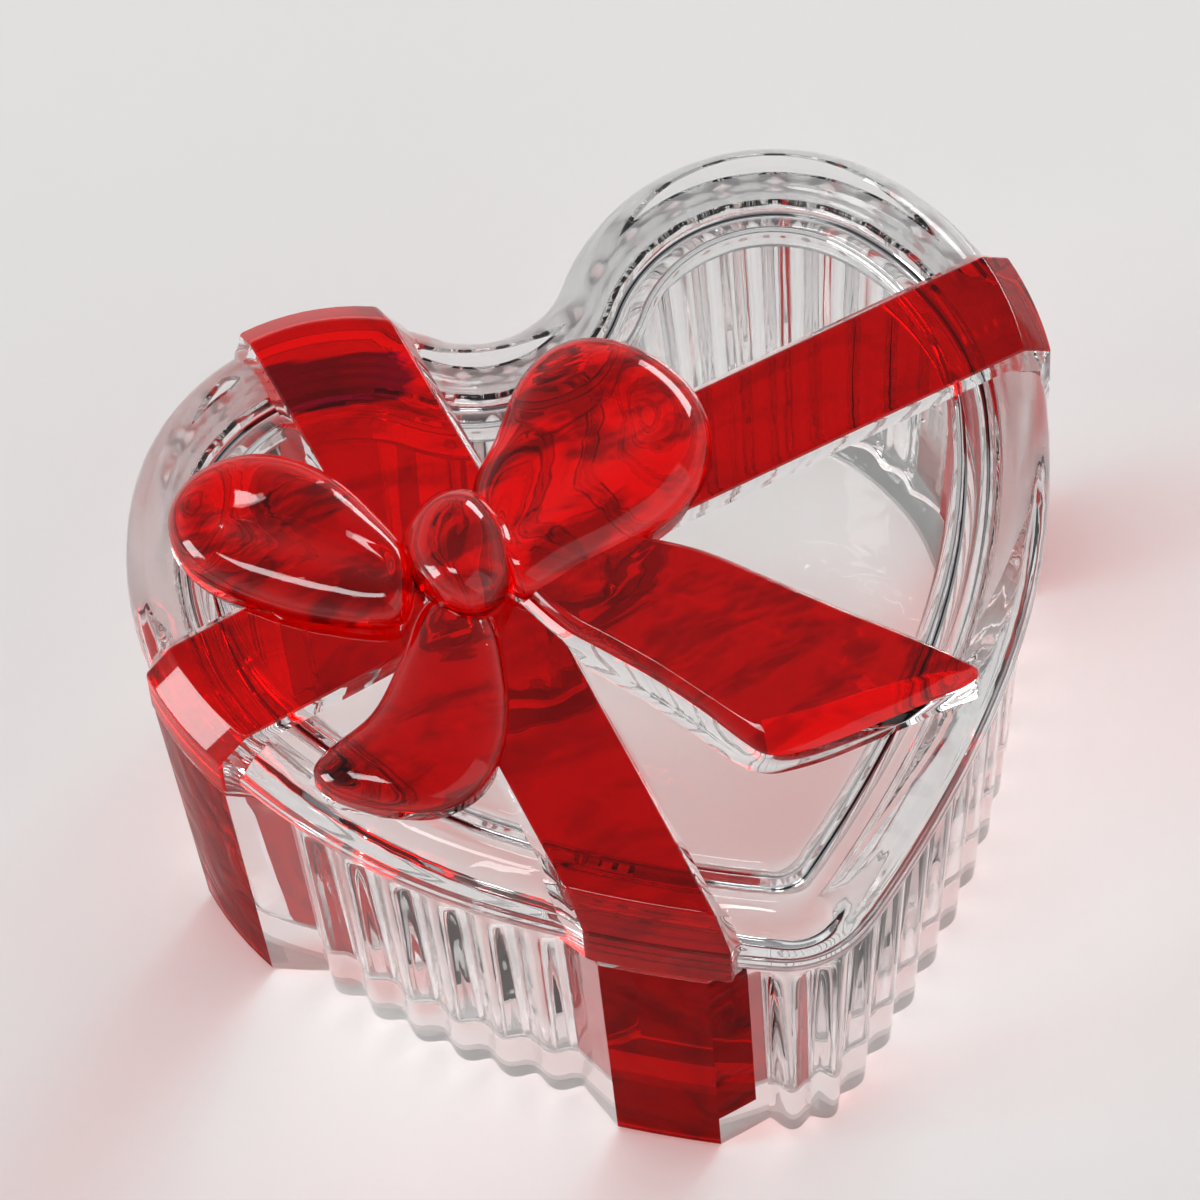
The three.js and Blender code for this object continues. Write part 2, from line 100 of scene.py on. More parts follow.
def add_node(tree, kind, settings, sockets):
    """One node: its settings or a ramp's stops first, then a value or a link for each socket."""
    made = tree.nodes.new(kind)
    for name, value in settings.items():
        if name == "stops":
            ramp = made.color_ramp
            while len(ramp.elements) < len(value):
                ramp.elements.new(0.5)
            for element, (place, color) in zip(ramp.elements, value):
                element.position = place
                element.color = (*color, 1)
        else:
            setattr(made, name, value)
    for name, value in sockets.items():
        if isinstance(value, Value):
            tree.links.new(value.socket, made.inputs[name])
        elif isinstance(value, bpy.types.NodeSocket):
            tree.links.new(value, made.inputs[name])
        else:
            made.inputs[name].default_value = value
    return made


def new_finish(name):
    """An empty material and its output node."""
    finish = bpy.data.materials.new(name)
    finish.use_nodes = True
    finish.node_tree.nodes.clear()
    return finish, finish.node_tree.nodes.new("ShaderNodeOutputMaterial")


paper, paper_out = new_finish("pale paper")
paper_shader = add_node(paper.node_tree, "ShaderNodeBsdfPrincipled", {}, {
    "Base Color": (0.80, 0.79, 0.78, 1),
    "Roughness": 0.9,
    "Specular IOR Level": 0.1,
})
paper.node_tree.links.new(paper_shader.outputs[0], paper_out.inputs["Surface"])

floor_radius = 1.9
curl_radius = 0.4
curl_steps = 8
sweep_height = 0.6
sweep_steps = 96
sweep_profile = [(0.02, 0.0), (0.6, 0.0), (floor_radius, 0.0)]
for step in range(1, curl_steps + 1):
    bend = step / curl_steps * math.pi / 2
    sweep_profile.append((floor_radius + curl_radius * math.sin(bend), curl_radius * (1 - math.cos(bend))))
sweep_profile.append((floor_radius + curl_radius, sweep_height))
sweep_points = [
    (r * math.cos(2 * math.pi * k / sweep_steps), r * math.sin(2 * math.pi * k / sweep_steps), z)
    for r, z in sweep_profile for k in range(sweep_steps)
]
sweep_faces = [tuple(range(sweep_steps))]
for i in range(len(sweep_profile) - 1):
    for k in range(sweep_steps):
        n = (k + 1) % sweep_steps
        low, high = i * sweep_steps, (i + 1) * sweep_steps
        sweep_faces.append((low + k, high + k, high + n, low + n))
sweep_mesh = bpy.data.meshes.new("sweep")
sweep_mesh.from_pydata(sweep_points, [], sweep_faces)
sweep_mesh.materials.append(paper)
sweep_mesh.shade_smooth()
sweep = bpy.data.objects.new("sweep", sweep_mesh)
scene.collection.objects.link(sweep)

world = bpy.data.worlds.new("studio")
world.use_nodes = True
sky = world.node_tree
sky_place = add_node(sky, "ShaderNodeTexCoord", {}, {})
sky_parts = add_node(sky, "ShaderNodeSeparateXYZ", {}, {0: sky_place.outputs["Generated"]})
sky_tone = add_node(sky, "ShaderNodeValToRGB", {"stops": [
    (0.0, (0.72, 0.72, 0.72)),
    (0.35, (0.6, 0.6, 0.61)),
    (0.6, (0.3, 0.3, 0.31)),
    (1.0, (0.12, 0.12, 0.13)),
]}, {0: sky_parts.outputs["Z"]})
sky.links.new(sky_tone.outputs[0], sky.nodes["Background"].inputs["Color"])
sky.nodes["Background"].inputs["Strength"].default_value = 1
scene.world = world


def soft_lamp(name, place, size, power):
    """A rectangular white lamp that faces the jar."""
    data = bpy.data.lights.new(name, "AREA")
    data.shape = "RECTANGLE"
    data.size, data.size_y = size
    data.energy = power
    lamp = bpy.data.objects.new(name, data)
    lamp.location = place
    toward_jar = Vector((0, 0, 0.05)) - Vector(place)
    lamp.rotation_euler = toward_jar.to_track_quat("-Z", "Y").to_euler()
    lamp.visible_camera = False
    scene.collection.objects.link(lamp)


soft_lamp("window_left", (-1.45, 0.27, 0.68), (0.48, 0.85), 12)
soft_lamp("roof_window", (-0.3, 0.1, 1.6), (0.3, 0.5), 4)
soft_lamp("window_right", (1.12, 0.82, 0.85), (0.75, 0.5), 12)
soft_lamp("front_fill", (0.7, -1.0, 1.3), (1.5, 1.5), 3.5)

# Jar. One thick pressing in clear glass: a heart bowl with upright convex ribs outside, smooth
# walls inside and a heavy base. Four raised pads, where the ribbon comes down from the lid, are
# stained red on their faces and fired. Its foot and the mouth that the lid rests on are ground.
MM = 0.001
lid_width = 124
tip_place = -51.6 * lid_width / 100
tip_radius, flank_radius, shoulder_radius, notch_radius = 14, 92, 43.5, 12
turns = (31, 12, 26, 54, 104)
inner_tip_radius = 5
jar_height = 62.5
lid_overhang = 1.8
wall_thickness = 5.2
outer_draft = 2.8
inner_draft = 4
base_thickness = 8
floor_fillet = 4.5
foot_ring_width = 7
foot_round = 1.4
mouth_round = 0.8
mouth_shoulder = 61.7
wall_levels = (11, 20, 32, 44, 53, 56)
rib_ends = ((57.6, 0.82), (59, 0.4), (60, 0))
inner_levels = (50, 38, 26, 14)
rib_pitch = 6.9
rib_depth = 1.5
rib_groove = 0.3
rib_steps = 12
pad_flank = 6
pad_steps, flank_steps = 6, 4
ribbon_width = 14
ribbon_proud = 3.1
wall_line = -(lid_overhang + outer_draft / 2)
knot_place = Vector((-17.2, 2.9)) * lid_width / 100
# The front band's flank alone is painted red: a painted refraction of the band's red face, which shows
# through the flank.
painted_red_flank_side = "front"

# Each arm of the ribbon has its angle in degrees and its width on the lid.
arms = {
    "right": (2.2, 14.6),
    "back": (93, 17.6),
    "left": (185, 16),
    "front": (271.4, 15),
}
pads = len(arms)
lid_low, lid_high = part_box("lid_plate")
shift = Vector(((lid_low.x + lid_high.x) / 2 / MM, lid_low.y / MM - tip_place))


def heart_arcs():
    """Arcs of the right half from tip to notch: centre, radius, first and last heading."""
    headings = [0]
    for step in turns:
        headings.append(headings[-1] + step)
    headings = [math.radians(h) for h in headings + [180]]
    s = [math.sin(h) for h in headings]
    half = lid_width / 2
    fixed = tip_radius * s[1] + flank_radius * (s[3] - s[2]) + shoulder_radius * (1 - s[3])
    side = (half - fixed) / (s[2] - s[1])
    lobe = (half - shoulder_radius * (1 - s[4]) + notch_radius * s[5]) / (s[4] - s[5])
    arcs = []
    x, y = 0, tip_place
    for i, r in enumerate((tip_radius, side, flank_radius, shoulder_radius, lobe, -notch_radius)):
        cx, cy = x - r * s[i], y + r * math.cos(headings[i])
        x, y = cx + r * s[i + 1], cy - r * math.cos(headings[i + 1])
        arcs.append((cx, cy, r, headings[i], headings[i + 1]))
    return arcs


arcs = heart_arcs()
arc_lengths = [abs((r + wall_line) * (b - a)) for _, _, r, a, b in arcs]
half_length = sum(arc_lengths)


def edge_point(length, offset):
    """Place at a length round the wall from the tip and at an offset from the lid's edge."""
    along = length % (2 * half_length)
    rest = 2 * half_length - along if along > half_length else along
    i = 0
    while i < len(arcs) - 1 and rest > arc_lengths[i]:
        rest -= arc_lengths[i]
        i += 1
    cx, cy, r, a, _ = arcs[i]
    heading = a + rest / (r + wall_line)
    x = cx + (r + offset) * math.sin(heading)
    y = cy - (r + offset) * math.cos(heading)
    return Vector((-x if along > half_length else x, y))


def heart_ring(offset, tip=None, steps=(8, 12, 10, 20, 36, 16)):
    """Closed outline at an offset from the lid's edge, with a tip radius of its own if given."""
    spans = [list(arc) + [offset] for arc in arcs]
    if tip is not None:
        cx, cy, r = arcs[1][:3]
        reach = r + offset - tip
        joint = math.asin(-cx / reach)
        spans[0] = [0, cy - math.sqrt(reach ** 2 - cx ** 2), tip, 0, joint, 0]
        spans[1][3] = joint
    half = []
    for i, (cx, cy, r, a, b, grow) in enumerate(spans):
        for k in range(0 if i == 0 else 1, steps[i] + 1):
            heading = a + (b - a) * k / steps[i]
            half.append(Vector((cx + (r + grow) * math.sin(heading), cy - (r + grow) * math.cos(heading))))
    return half + [Vector((-p.x, p.y)) for p in reversed(half[1:-1])]


def placed_at(ring, shares):
    """Points of a closed outline at shares of its length."""
    ends = ring[1:] + ring[:1]
    sums = [0]
    for p, q in zip(ring, ends):
        sums.append(sums[-1] + (q - p).length)
    points = []
    i = 0
    for share in shares:
        goal = share * sums[-1]
        while sums[i + 1] < goal and i < len(ring) - 1:
            i += 1
        part = (goal - sums[i]) / max(sums[i + 1] - sums[i], 1e-9)
        points.append(ring[i].lerp(ends[i], min(part, 1)))
    return points


def at_height(points, z):
    """Points of an outline, lifted to a height."""
    return [Vector((p.x, p.y, z)) for p in points]


def crossing(angle):
    """Length round the wall where a ribbon from the knot goes over the lid's edge."""
    along = Vector((math.cos(math.radians(angle)), math.sin(math.radians(angle))))
    found = []
    steps = 720
    for i in range(steps):
        length = 2 * half_length * i / steps
        reach = edge_point(length, 0) - knot_place
        if reach.dot(along) > 0:
            found.append((abs(reach.x * along.y - reach.y * along.x), length))
    return min(found)[1]


def loft(rings, paint):
    """Closed mesh through equal rings in mm; paint gives the slot of face (ring, point)."""
    count = len(rings[0])
    verts = [(Vector((p.x + shift.x, p.y + shift.y, p.z)) * MM)[:] for ring in rings for p in ring]
    faces = [tuple(reversed(range(count)))]
    slots = [0]
    for i in range(len(rings) - 1):
        for k in range(count):
            n = (k + 1) % count
            faces.append((i * count + k, i * count + n, (i + 1) * count + n, (i + 1) * count + k))
            slots.append(paint(i, k))
    faces.append(tuple(range((len(rings) - 1) * count, len(rings) * count)))
    slots.append(0)
    mesh = bpy.data.meshes.new("glass")
    mesh.from_pydata(verts, [], faces)
    mesh.polygons.foreach_set("material_index", slots)
    check = bmesh.new()
    check.from_mesh(mesh)
    if check.calc_volume(signed=True) < 0:
        mesh.flip_normals()
    check.free()
    return mesh


# Each step round the wall has its length from the tip, its rise over the ribs' crests, and a mark:
# the pad's number on a stained face, the same below 0 on its flank where red is painted, 0 on clear glass.
pad_sides = sorted((crossing(angle), side) for side, (angle, _) in arms.items())
lengths, rises, marks = [], [], []
for i, (middle, side) in enumerate(pad_sides):
    painted_flank_mark = -i - 1 if side == painted_red_flank_side else 0
    for k in range(pad_steps + 1):
        lengths.append(middle + ribbon_width * (k / pad_steps - 0.5))
        rises.append(ribbon_proud)
        marks.append(i + 1 if k < pad_steps else painted_flank_mark)
    for k in range(1, flank_steps):
        lengths.append(middle + ribbon_width / 2 + pad_flank * k / flank_steps)
        rises.append(ribbon_proud - (ribbon_proud + rib_depth) * k / flank_steps)
        marks.append(painted_flank_mark if k < flank_steps - 1 else 0)
    following = pad_sides[(i + 1) % pads][0] + (2 * half_length if i == pads - 1 else 0)
    start = middle + ribbon_width / 2 + pad_flank
    room = following - ribbon_width / 2 - pad_flank - start
    ribs = round(room / rib_pitch)
    for k in range(ribs * rib_steps + 1):
        phase = (k % rib_steps) / rib_steps * math.pi
        lengths.append(start + room * k / (ribs * rib_steps))
        swell = math.sqrt(math.sin(phase) ** 2 + rib_groove ** 2)
        rises.append(rib_depth * ((swell - rib_groove) / (math.hypot(1, rib_groove) - rib_groove) - 1))
        marks.append(0)
    for k in range(flank_steps - 1, 0, -1):
        lengths.append(following - ribbon_width / 2 - pad_flank * k / flank_steps)
        rises.append(ribbon_proud - (ribbon_proud + rib_depth) * k / flank_steps)
        marks.append(0)


def wall_ring(z, inset, rib_share):
    """Ring round the ribbed wall at a height, drawn in by an inset, with its grooves at a share."""
    draft = outer_draft * (1 - z / jar_height)
    return at_height([
        edge_point(length, -lid_overhang - draft - inset + (rise * rib_share if rise < 0 else rise))
        for length, rise in zip(lengths, rises)
    ], z)


first_length = lengths[0]
shares = [(length - first_length) / (2 * half_length) for length in lengths]
inner_steps = 2000


def inner_ring(offset, z):
    """Smooth ring inside the wall, with a point opposite each point of the outer wall."""
    ring = heart_ring(offset, inner_tip_radius)
    turned = placed_at(ring, [i / inner_steps for i in range(inner_steps)])
    begin = round(first_length / (2 * half_length) * inner_steps)
    points = []
    for share in shares:
        at = (share * inner_steps + begin) % inner_steps
        low = int(at)
        points.append(turned[low].lerp(turned[(low + 1) % inner_steps], at - low))
    return at_height(points, z)


def inner_offset(z):
    """Offset of the inner wall at a height; it leans out a little toward the mouth."""
    return -(lid_overhang + wall_thickness) - inner_draft * (1 - z / jar_height)


# Rings from the middle of the underside, out over the foot, up the wall, and down inside.
recess_offset = -lid_overhang - outer_draft - foot_ring_width
recess_edge = ((-0.6, 1), (0, 0.35), (0.5, 0))
foot_steps, mouth_steps, fillet_steps = 5, 4, 7
jar_rings = [inner_ring(recess_offset + step, z) for step, z in recess_edge]
ground_to = len(jar_rings)
for k in range(foot_steps + 1):
    bend = k / foot_steps * math.pi / 2
    jar_rings.append(wall_ring(foot_round * (1 - math.cos(bend)), foot_round * (1 - math.sin(bend)), 1))
red_from = ground_to + 1
flank_from = red_from + foot_steps
for z in wall_levels:
    jar_rings.append(wall_ring(z, 0, 1))
for z, share in rib_ends:
    jar_rings.append(wall_ring(z, 0, share))
jar_rings.append(wall_ring(mouth_shoulder, 0, 0))
red_to = len(jar_rings) - 1
mouth_ring = red_to + mouth_steps
for k in range(1, mouth_steps + 1):
    bend = k / mouth_steps * math.pi / 2
    z = mouth_shoulder + mouth_round * math.sin(bend)
    jar_rings.append(wall_ring(z, mouth_round * (1 - math.cos(bend)), 0))
for k in range(mouth_steps + 1):
    bend = k / mouth_steps * math.pi / 2
    z = jar_height - mouth_round * (1 - math.cos(bend))
    jar_rings.append(inner_ring(inner_offset(jar_height) + mouth_round * (1 - math.sin(bend)), z))
for z in inner_levels:
    jar_rings.append(inner_ring(inner_offset(z), z))
for k in range(fillet_steps + 1):
    bend = (1 - k / fillet_steps) * math.pi / 2
    z = base_thickness + floor_fillet * (1 - math.cos(bend))
    jar_rings.append(inner_ring(inner_offset(z) - floor_fillet * (1 - math.sin(bend)), z))

# Slots of the jar's faces: 0 is clear, 1 to 4 the pads, 5 to 8 their flanks with painted red, then the ground
# ones.
ground, recess, mouth = 2 * pads + 1, 2 * pads + 2, 2 * pads + 3


def jar_paint(i, k):
    """Clear glass, a stained pad, a flank with painted red, the ground foot or the ground mouth."""
    if i < ground_to:
        return ground
    if i == mouth_ring:
        return mouth
    if marks[k] > 0 and red_from <= i < red_to:
        return marks[k]
    if marks[k] < 0 and flank_from <= i < red_to:
        return pads - marks[k]
    return 0


jar_mesh = loft(jar_rings, jar_paint)
jar_mesh.polygons[0].material_index = recess


def clear_glass(name, grain, waviness, roughness, clearness, painted_shade_level, index=1.5):
    """Pressed clear glass, its skin uneven along a grain: fire-polished, or ground and partly milky; a shade
    level below 1 greys its colour as painted shade.
    """
    finish, out = new_finish(name)
    tree = finish.node_tree
    place = add_node(tree, "ShaderNodeTexCoord", {}, {})
    swell = add_node(tree, "ShaderNodeTexNoise", {}, {
        "Vector": place.outputs["Object"], "Scale": 55.0, "Detail": 1.5, "Roughness": 0.4,
    })
    drawn = add_node(tree, "ShaderNodeMapping", {}, {"Vector": place.outputs["Object"], "Scale": grain})
    lines = add_node(tree, "ShaderNodeTexNoise", {}, {
        "Vector": drawn.outputs[0], "Scale": 100.0, "Detail": 1.0, "Roughness": 0.5,
    })
    bump = add_node(tree, "ShaderNodeBump", {}, {
        "Strength": waviness, "Distance": 0.0012,
        "Height": Value(swell.outputs["Fac"]) * 0.8 + Value(lines.outputs["Fac"]) * 0.3,
    })
    glass = add_node(tree, "ShaderNodeBsdfPrincipled", {}, {
        "Base Color": (0.975 * painted_shade_level, 0.98 * painted_shade_level, 0.978 * painted_shade_level, 1),
        "Roughness": roughness,
        "IOR": index,
        "Transmission Weight": clearness,
        "Normal": bump.outputs[0],
    })
    passing = add_node(tree, "ShaderNodeBsdfTransparent", {}, {"Color": (0.92, 0.93, 0.93, 1)})
    ray = add_node(tree, "ShaderNodeLightPath", {}, {})
    mixed = add_node(tree, "ShaderNodeMixShader", {}, {
        0: ray.outputs["Is Shadow Ray"], 1: glass.outputs[0], 2: passing.outputs[0],
    })
    tree.links.new(mixed.outputs[0], out.inputs["Surface"])
    return finish


# A patch of painted shade, near-black red laid over the stain, is given by its middle, its turn and its half
# sizes in metres. This one lies a metre away, so that it shows nowhere.
no_painted_shade = ((1, 1, 1), 0, (0.01, 0.01, 0.01))


def red_stain(name, streak_scale, streak_angle, depth, tone, clearness, index, gloss, painted_shade_patch=no_painted_shade):
    """See-through red stain fired on the glass, with darker flowing streaks under a clear polish, and a patch
    of painted shade where one is given.
    """
    finish, out = new_finish(name)
    tree = finish.node_tree
    place = add_node(tree, "ShaderNodeTexCoord", {}, {})
    lay = add_node(tree, "ShaderNodeMapping", {}, {
        "Vector": place.outputs["Object"], "Rotation": (0, 0, streak_angle), "Scale": (1, 2.6, 1),
    })
    flow = add_node(tree, "ShaderNodeTexNoise", {}, {
        "Vector": lay.outputs[0],
        "Scale": streak_scale,
        "Detail": 2.0,
        "Roughness": 0.45,
        "Distortion": 1.6,
    })
    wisp = add_node(tree, "ShaderNodeTexNoise", {}, {
        "Vector": lay.outputs[0],
        "Scale": 3 * streak_scale,
        "Detail": 1.0,
        "Roughness": 0.4,
        "Distortion": 2.2,
    })
    marbling = Value(flow.outputs["Fac"]) * 0.78 + Value(wisp.outputs["Fac"]) * 0.22
    streaks = add_node(tree, "ShaderNodeValToRGB", {"stops": [
        (0.0, (0.04, 0.0, 0.0)),
        (0.38, (depth, 0.0, 0.0)),
        (0.52, (tone, 0.0, 0.0)),
        (1.0, (1.15 * tone, 0.0, 0.0)),
    ]}, {0: marbling})
    # Painted shade: inside an oval with a ragged edge the stain is mixed toward near-black red.
    middle, turn, half_sizes = painted_shade_patch
    beside = add_node(tree, "ShaderNodeMapping", {"vector_type": "TEXTURE"}, {
        "Vector": place.outputs["Object"],
        "Location": middle,
        "Rotation": (0, 0, turn),
        "Scale": half_sizes,
    })
    away = add_node(tree, "ShaderNodeSeparateXYZ", {}, {0: beside.outputs[0]})
    across = Value(away.outputs["X"]) * Value(away.outputs["X"])
    down = Value(away.outputs["Y"]) * Value(away.outputs["Y"])
    painted_shade_mask = add_node(tree, "ShaderNodeMapRange", {}, {
        "Value": across * across + down * down + 1.5 * Value(wisp.outputs["Fac"]),
        "From Min": 1.3, "From Max": 1.7, "To Min": 0.88, "To Max": 0.0,
    })
    stained = add_node(tree, "ShaderNodeMix", {"data_type": "RGBA"}, {
        "Factor": painted_shade_mask.outputs[0], 6: streaks.outputs[0], 7: (0.012, 0.0, 0.0008, 1),
    })
    facing = add_node(tree, "ShaderNodeSeparateXYZ", {}, {0: place.outputs["Normal"]})
    polish = add_node(tree, "ShaderNodeMapRange", {}, {
        "Value": facing.outputs["Z"], "From Min": 0.2, "From Max": 0.5, "To Min": 0.0, "To Max": gloss,
    })
    bump = add_node(tree, "ShaderNodeBump", {}, {
        "Strength": 0.15, "Distance": 0.0012, "Height": flow.outputs["Fac"],
    })
    glass = add_node(tree, "ShaderNodeBsdfPrincipled", {}, {
        "Base Color": stained.outputs[2],
        "Roughness": 0.02,
        "IOR": index,
        "Transmission Weight": clearness,
        "Normal": bump.outputs[0],
        "Coat Weight": polish.outputs[0],
        "Coat Roughness": 0.02,
        "Coat IOR": 1.65,
    })
    passing = add_node(tree, "ShaderNodeBsdfTransparent", {}, {"Color": (0.72, 0.08, 0.06, 1)})
    ray = add_node(tree, "ShaderNodeLightPath", {}, {})
    mixed = add_node(tree, "ShaderNodeMixShader", {}, {
        0: ray.outputs["Is Shadow Ray"], 1: glass.outputs[0], 2: passing.outputs[0],
    })
    tree.links.new(mixed.outputs[0], out.inputs["Surface"])
    return finish


def even_normals(mesh):
    """Smooth shading that stays crisp at sharp edges and isn't upset by slender faces."""
    mesh.shade_smooth()
    mesh.set_sharp_from_angle(angle=math.radians(30))
    holder = bpy.data.objects.new("holder", mesh)
    scene.collection.objects.link(holder)
    weighted = holder.modifiers.new("weighted", "WEIGHTED_NORMAL")
    weighted.mode = "FACE_AREA_WITH_ANGLE"
    weighted.keep_sharp = True
    bpy.context.view_layer.update()
    graph = bpy.context.evaluated_depsgraph_get()
    shaded = bpy.data.meshes.new_from_object(holder.evaluated_get(graph), depsgraph=graph)
    bpy.data.objects.remove(holder)
    return shaded


def take_faces(mesh, name, slot, finish, body, node):
    """The faces of one slot as a piece of its own, which meets its neighbours edge to edge."""
    numbers, points, faces, normals = {}, [], [], []
    for polygon in mesh.polygons:
        if polygon.material_index != slot:
            continue
        face = []
        for corner in polygon.loop_indices:
            vertex = mesh.loops[corner].vertex_index
            if vertex not in numbers:
                numbers[vertex] = len(points)
                points.append(mesh.vertices[vertex].co[:])
            face.append(numbers[vertex])
            normals.append(mesh.corner_normals[corner].vector[:])
        faces.append(face)
    piece_mesh = bpy.data.meshes.new(name)
    piece_mesh.from_pydata(points, [], faces)
    piece_mesh.shade_smooth()
    piece_mesh.normals_split_custom_set(normals)
    piece_mesh.materials.append(finish)
    piece = bpy.data.objects.new(name, piece_mesh)
    scene.collection.objects.link(piece)
    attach(piece, body)
    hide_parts(node)


jar_mesh = even_normals(jar_mesh)
upright_grain, level_grain = (3.6, 3.6, 0.16), (0.12, 0.12, 4.5)
wall_finish = clear_glass(
    "clear pressed glass, drawn upright", upright_grain, waviness=0.14, roughness=0.0, clearness=1.0, painted_shade_level=1,
)
# Painted shade: the ground foot is greyed to 0.45 and the glass under the base to 0.75.
ground_finish = clear_glass(
    "ground glass foot", level_grain, waviness=0.3, roughness=0.75, clearness=0.7, painted_shade_level=0.45, index=1.08,
)
recess_finish = clear_glass(
    "dull glass under the base", level_grain,
    waviness=0.3, roughness=0.6, clearness=0.75, painted_shade_level=0.75, index=1.1,
)
mouth_finish = clear_glass(
    "ground glass mouth", level_grain, waviness=0.6, roughness=0.43, clearness=0.88, painted_shade_level=1,
)
band_finish = red_stain(
    "red stain on the jar's bands", streak_scale=50, streak_angle=1.2,
    depth=0.16, tone=0.32, clearness=0.75, index=1.04, gloss=0.0,
)
# Painted refraction: a darker red on the front band's flank, standing in for the band's red seen through it.
flank_painted_red_finish = red_stain(
    "red painted on the front band's flank, a painted refraction", streak_scale=90, streak_angle=0.3,
    depth=0.05, tone=0.26, clearness=0.75, index=1.03, gloss=0.0,
)
take_faces(jar_mesh, "jar_glass", 0, wall_finish, "jar", "jar_body")
take_faces(jar_mesh, "jar_ground_foot", ground, ground_finish, "jar", "jar_body")
take_faces(jar_mesh, "jar_recess", recess, recess_finish, "jar", "jar_body")
take_faces(jar_mesh, "jar_mouth", mouth, mouth_finish, "jar", "jar_body")
for i, (_, side) in enumerate(pad_sides):
    node = "jar_ribbon_" + side
    take_faces(jar_mesh, "jar_stain_" + side, i + 1, band_finish, "jar", node)
    if side == painted_red_flank_side:
        take_faces(jar_mesh, "jar_flank_" + side, pads + i + 1, flank_painted_red_finish, "jar", node)

# Lid. A second clear pressing: a flat heart plate with a full rounded rim, and a ring underneath
# that drops inside the jar's mouth and keeps it in place. It rests there by its own weight, on
# an underside that is faintly rippled. The ribbon and bow rise from it in one piece.
seat_z = 62.8
lid_top = 74.2
rim_round = 5.2
rim_under = 1.6
rim_middle = 66.6
flange_offset = -7.8
flange_low = 58.8
flange_width = 3.4
flange_round = 1.2
recess_top = 66.7
recess_fillet = 2
recess_steps, flange_steps, rim_steps = 5, 8, 21
seat_waves, seat_wave, seat_steps = 4, 0.16, 24

# Rings from the middle of the underside, out under the ring and the rim, and up over the rim.
flange_inside = flange_offset - flange_width
lid_rings = [at_height(heart_ring(flange_inside - recess_fillet, inner_tip_radius), recess_top)]
for k in range(1, recess_steps + 1):
    bend = k / recess_steps * math.pi / 2
    lid_rings.append(at_height(
        heart_ring(flange_inside - recess_fillet * (1 - math.sin(bend)), inner_tip_radius),
        recess_top - recess_fillet * (1 - math.cos(bend)),
    ))
for k in range(flange_steps + 1):
    bend = k / flange_steps * math.pi
    lid_rings.append(at_height(
        heart_ring(flange_offset - flange_width / 2 - flange_width / 2 * math.cos(bend), inner_tip_radius),
        flange_low + flange_round - flange_round * math.sin(bend),
    ))
lid_rings.append(at_height(heart_ring(flange_offset, inner_tip_radius), seat_z))
for k in range(1, seat_steps):
    share = k / seat_steps
    wave = seat_wave * (1 - math.cos(2 * math.pi * seat_waves * share)) / 2
    inside = at_height(heart_ring(flange_offset, inner_tip_radius), seat_z + wave)
    outside = at_height(heart_ring(-rim_under), seat_z + wave)
    lid_rings.append([p.lerp(q, share) for p, q in zip(inside, outside)])


def rim_offset(z):
    """How far the lid's full rounded rim stands in from its widest, at a height."""
    if z < rim_middle:
        return -rim_under * (1 - math.sqrt(max(0, 1 - ((rim_middle - z) / (rim_middle - seat_z)) ** 2)))
    return -rim_round * (1 - math.sqrt(max(0, 1 - ((z - rim_middle) / (lid_top - rim_middle)) ** 2)))


for k in range(rim_steps + 1):
    bend = (k / rim_steps - 0.5) * math.pi
    reach = lid_top - rim_middle if bend > 0 else rim_middle - seat_z
    z = rim_middle + reach * math.sin(bend)
    lid_rings.append(at_height(heart_ring(rim_offset(z)), z))
lid_mesh = loft(lid_rings, lambda i, k: 0)

# Ribbon on the lid. Four flat raised bands of the lid's own glass run from the knot and fold over
# the rim with a chamfer. Their faces carry the red stain; their thin sides spread into the plate
# and are left clear.
ribbon_rise = 1.44
ribbon_chamfer = 3.8
ribbon_root = 3.4
ribbon_foot = seat_z + 0.5

# Each crease of the chamfer is eased by these lengths. A layer under the face has its own chamfer
# further out and lower, by these shares of its depth.
crease_in, crease_out, crease_drop = 0.3, 0.175, 0.12
chamfer_out, chamfer_down = 0.586, 0.414

# Each point of the cross-section's side: its place from the face's edge, and its depth.
side_profile = (
    (-1.9, 1.9), (-1.3, 1.5), (-0.8, 1.1), (-0.42, 0.65), (-0.16, 0.25), (0.1, 0.05), (0.5, 0),
)
clear_steps = 4
face_steps = 8
edge_steps = (24, 30, 24, 40, 60, 20)


def reach_to(lateral, angle, offset):
    """Distance from the knot along a ribbon, at a side step, to the edge grown by an offset."""
    along = Vector((math.cos(angle), math.sin(angle)))
    across = Vector((-along.y, along.x))
    begin = knot_place + across * lateral
    ring = heart_ring(offset, None, edge_steps)
    best = 0
    for p, q in zip(ring, ring[1:] + ring[:1]):
        a, b = (p - begin).dot(across), (q - begin).dot(across)
        if (a > 0) != (b > 0):
            hit = p.lerp(q, a / (a - b))
            best = max(best, (hit - begin).dot(along))
    return best


